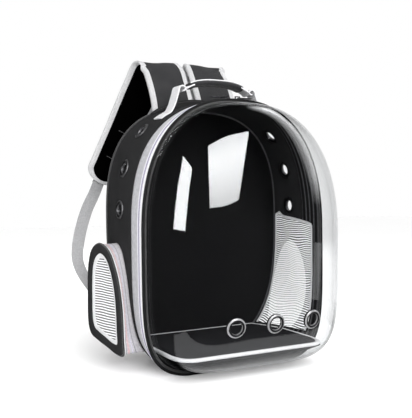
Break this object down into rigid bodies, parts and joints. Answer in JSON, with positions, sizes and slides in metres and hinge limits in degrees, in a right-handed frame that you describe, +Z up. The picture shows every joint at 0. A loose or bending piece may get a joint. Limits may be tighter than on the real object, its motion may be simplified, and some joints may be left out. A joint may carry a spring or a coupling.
{
  "type": "bubble pet carrier backpack",
  "caption": "Arch-shaped pet carrier backpack with a clear bubble front, mesh side windows, floor mat, carry handle and padded shoulder straps.",
  "frame": {"origin": "on the ground under the middle of the bag's flat underside, half the shell's depth behind the front seam", "axes": "+X to the right of the bag as seen from the dome, -Y out of the dome, +Z up"},
  "size_m": [0.4046, 0.3299, 0.5102],
  "materials": {
    "black_cloth": "black coated polyester cloth, fine weave",
    "black_foam": "black padded air mesh",
    "strap_cloth": "black padded strap cloth with light binding",
    "mat_cloth": "black short-pile mat cloth",
    "white_tape": "white zip tape with a faint lilac coil",
    "white_webbing": "white woven webbing",
    "grey_webbing": "light grey woven webbing",
    "grey_piping": "light grey bound edge",
    "white_mesh": "white open mesh",
    "clear_plastic": "clear glossy moulded plastic",
    "dark_metal": "black nickel, polished",
    "black_plastic": "satin black plastic"
  },
  "bodies": {
    "bag": {"shell_gusset": "black_cloth", "back_panel": "black_foam", "front_zip_tape": "white_tape", "front_piping": "black_cloth", "bubble_dome": "clear_plastic", "dome_grommet_1": "dark_metal", "dome_grommet_2": "dark_metal", "dome_grommet_3": "dark_metal", "shell_grommet_left_1": "dark_metal", "shell_grommet_left_2": "dark_metal", "shell_grommet_left_3": "dark_metal", "shell_grommet_right_1": "dark_metal", "shell_grommet_right_2": "dark_metal", "shell_grommet_right_3": "dark_metal", "floor_mat": "mat_cloth", "mat_piping": "grey_piping", "window_frame_left": "black_cloth", "window_mesh_left": "white_mesh", "window_wall_left": "white_tape", "inner_mesh_left": "white_mesh", "window_frame_right": "black_cloth", "window_mesh_right": "white_mesh", "window_wall_right": "white_tape", "inner_mesh_right": "white_mesh", "handle_foot_left": "white_webbing", "handle_foot_right": "white_webbing", "handle_core": "white_webbing", "handle_grip": "black_foam", "shoulder_strap_left": "strap_cloth", "shoulder_strap_right": "strap_cloth", "strap_yoke": "black_cloth", "strap_webbing_left": "grey_webbing", "strap_webbing_right": "grey_webbing", "strap_buckle_left": "black_plastic", "strap_buckle_right": "black_plastic", "zip_slider_left": "dark_metal", "zip_slider_right": "dark_metal"},
    "pull_left": {"zip_pull_left": "dark_metal"},
    "pull_right": {"zip_pull_right": "dark_metal"}
  },
  "joints": [
    {"name": "pull_left_flip", "type": "hinge", "parent": "bag", "child": "pull_left", "pos_m": [-0.0098, -0.0535, 0.42354], "axis": [0, 1, 0], "range_deg": [0, 110]},
    {"name": "pull_right_flip", "type": "hinge", "parent": "bag", "child": "pull_right", "pos_m": [0.0138, -0.0535, 0.42343], "axis": [0, -1, 0], "range_deg": [0, 110]}
  ]
}
